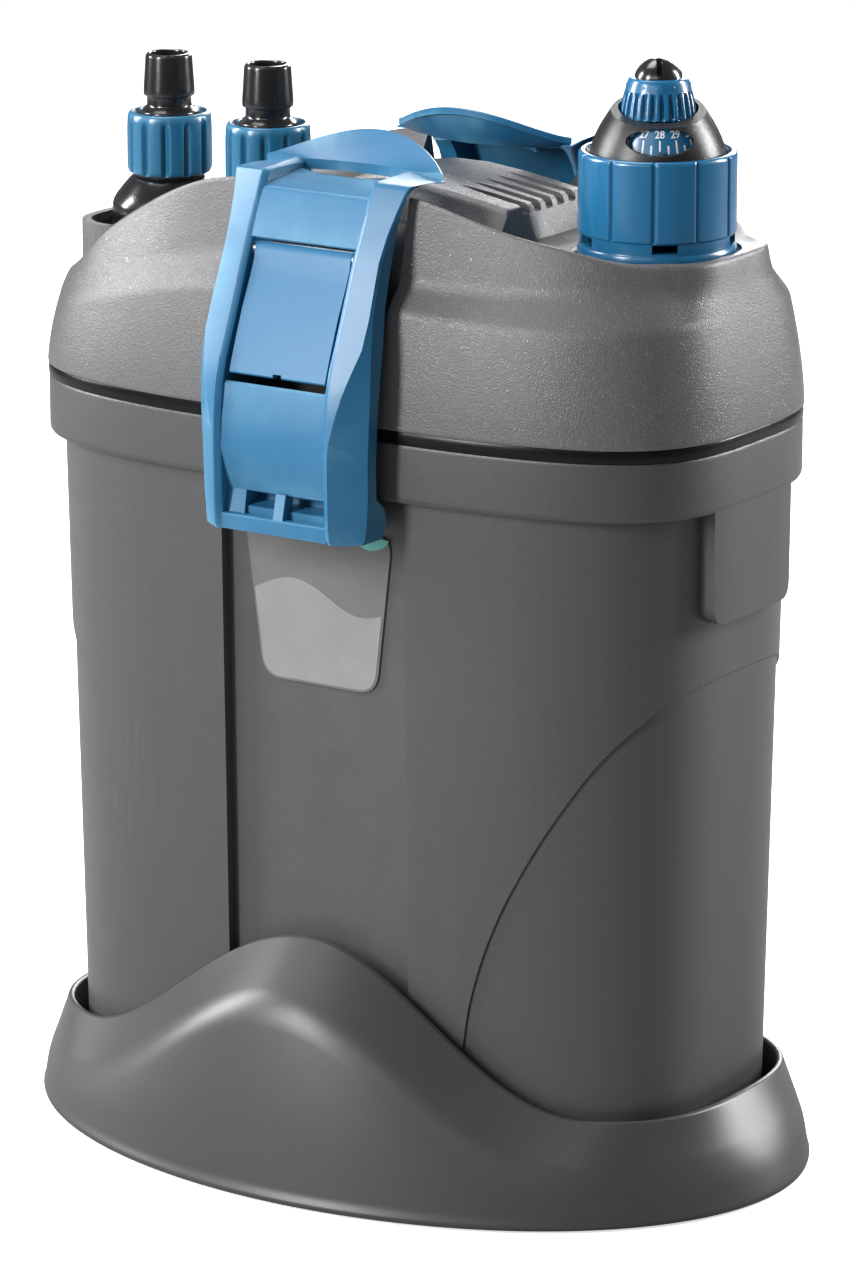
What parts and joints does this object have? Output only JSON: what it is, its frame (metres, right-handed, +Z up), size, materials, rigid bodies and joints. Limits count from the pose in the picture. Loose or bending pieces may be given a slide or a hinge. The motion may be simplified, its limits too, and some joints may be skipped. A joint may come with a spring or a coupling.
{
  "type": "canister filter",
  "caption": "Free-standing aquarium canister filter: oval container in a flared foot, pump head with two toggle latches, twin hose stubs and a screw-in heater with a temperature knob.",
  "frame": {"origin": "centre of the underside of the foot, on the floor", "axes": "+Z up, +X towards the heater, -Y the front with the badge"},
  "size_m": [0.2934, 0.2074, 0.3866],
  "materials": {
    "canister": "fine textured",
    "foot": "satin",
    "head": "coarse textured",
    "latch_blue": "satin",
    "collar_blue": "gloss",
    "black_gloss": "gloss",
    "black_matte": "satin",
    "seal_rubber": "matte",
    "ring_rubber": "matte",
    "badge": "printed satin",
    "steel": "turned",
    "ceramic": "polished",
    "magnet": "satin",
    "tube_glass": "clear",
    "element": "wound",
    "foam_blue": "open cell",
    "foam_white": "fine cell",
    "media": "porous"
  },
  "bodies": {
    "housing": {"container": "canister", "foot": "foot", "foot_pads": "seal_rubber", "badge": "badge", "rim_seal": "seal_rubber", "head_shell": "head", "head_plate": "black_matte", "head_screws": "steel", "motor_housing": "black_matte", "chamber_cover": "black_matte", "impeller_shaft": "ceramic", "shaft_bushes": "seal_rubber", "cable_gland": "seal_rubber", "head_hinge_pins": "steel", "heater_head": "black_gloss", "heater_tube": "tube_glass", "heater_element": "element", "heater_seal": "ring_rubber", "intake_pipe": "black_matte", "intake_strainer": "black_matte", "basket_1": "black_matte", "basket_2": "black_matte", "basket_3": "black_matte", "foam_coarse": "foam_blue", "foam_fine": "foam_white", "bio_media": "media"},
    "link_front": {"latch_link_front": "latch_blue"},
    "frame_front": {"latch_frame_front": "latch_blue", "latch_pin_front": "steel"},
    "link_rear": {"latch_link_rear": "latch_blue"},
    "frame_rear": {"latch_frame_rear": "latch_blue", "latch_pin_rear": "steel"},
    "hose_block": {"hose_adapter": "black_gloss", "adapter_seals": "ring_rubber", "hose_stub_left": "black_gloss", "hose_stub_right": "black_gloss"},
    "nut_left": {"union_nut_left": "latch_blue"},
    "nut_right": {"union_nut_right": "latch_blue"},
    "collar": {"heater_collar": "collar_blue"},
    "temperature_knob": {"heater_knob": "collar_blue", "heater_cap": "black_gloss", "heater_dial": "collar_blue"},
    "rotor": {"impeller": "magnet"}
  },
  "joints": [
    {"name": "latch_front_open", "type": "hinge", "parent": "housing", "child": "link_front", "pos_m": [0, -0.072, 0.2857], "axis": [1, 0, 0], "range_deg": [0, 100]},
    {"name": "latch_front_follow", "type": "hinge", "parent": "link_front", "child": "frame_front", "pos_m": [0, -0.0685, 0.3217], "axis": [1, 0, 0], "range_deg": [-85, 0]},
    {"name": "latch_rear_open", "type": "hinge", "parent": "housing", "child": "link_rear", "pos_m": [0, 0.072, 0.2857], "axis": [-1, 0, 0], "range_deg": [0, 100]},
    {"name": "latch_rear_follow", "type": "hinge", "parent": "link_rear", "child": "frame_rear", "pos_m": [0, 0.0685, 0.3217], "axis": [-1, 0, 0], "range_deg": [-85, 0]},
    {"name": "hose_block_lift", "type": "slide", "parent": "housing", "child": "hose_block", "axis": [0, 0, 1], "range_m": [0, 0.06]},
    {"name": "nut_left_turn", "type": "hinge", "parent": "hose_block", "child": "nut_left", "pos_m": [-0.1047, 0, 0.3387], "axis": [0, 0, 1], "continuous": true},
    {"name": "nut_right_turn", "type": "hinge", "parent": "hose_block", "child": "nut_right", "pos_m": [-0.0629, 0, 0.3387], "axis": [0, 0, 1], "continuous": true},
    {"name": "heater_collar_turn", "type": "hinge", "parent": "housing", "child": "collar", "pos_m": [0.094, 0, 0.3307], "axis": [0, 0, 1], "range_deg": [0, 30]},
    {"name": "temperature_turn", "type": "hinge", "parent": "housing", "child": "temperature_knob", "pos_m": [0.094, 0, 0.3707], "axis": [0, 0, 1], "range_deg": [-105, 168]},
    {"name": "impeller_spin", "type": "hinge", "parent": "housing", "child": "rotor", "pos_m": [-0.006, 0, 0.262], "axis": [0, 0, 1], "continuous": true}
  ],
  "couplings": [
    {"joint": "latch_front_follow", "follows": "latch_front_open", "ratio": -0.85},
    {"joint": "latch_rear_follow", "follows": "latch_rear_open", "ratio": -0.85}
  ]
}
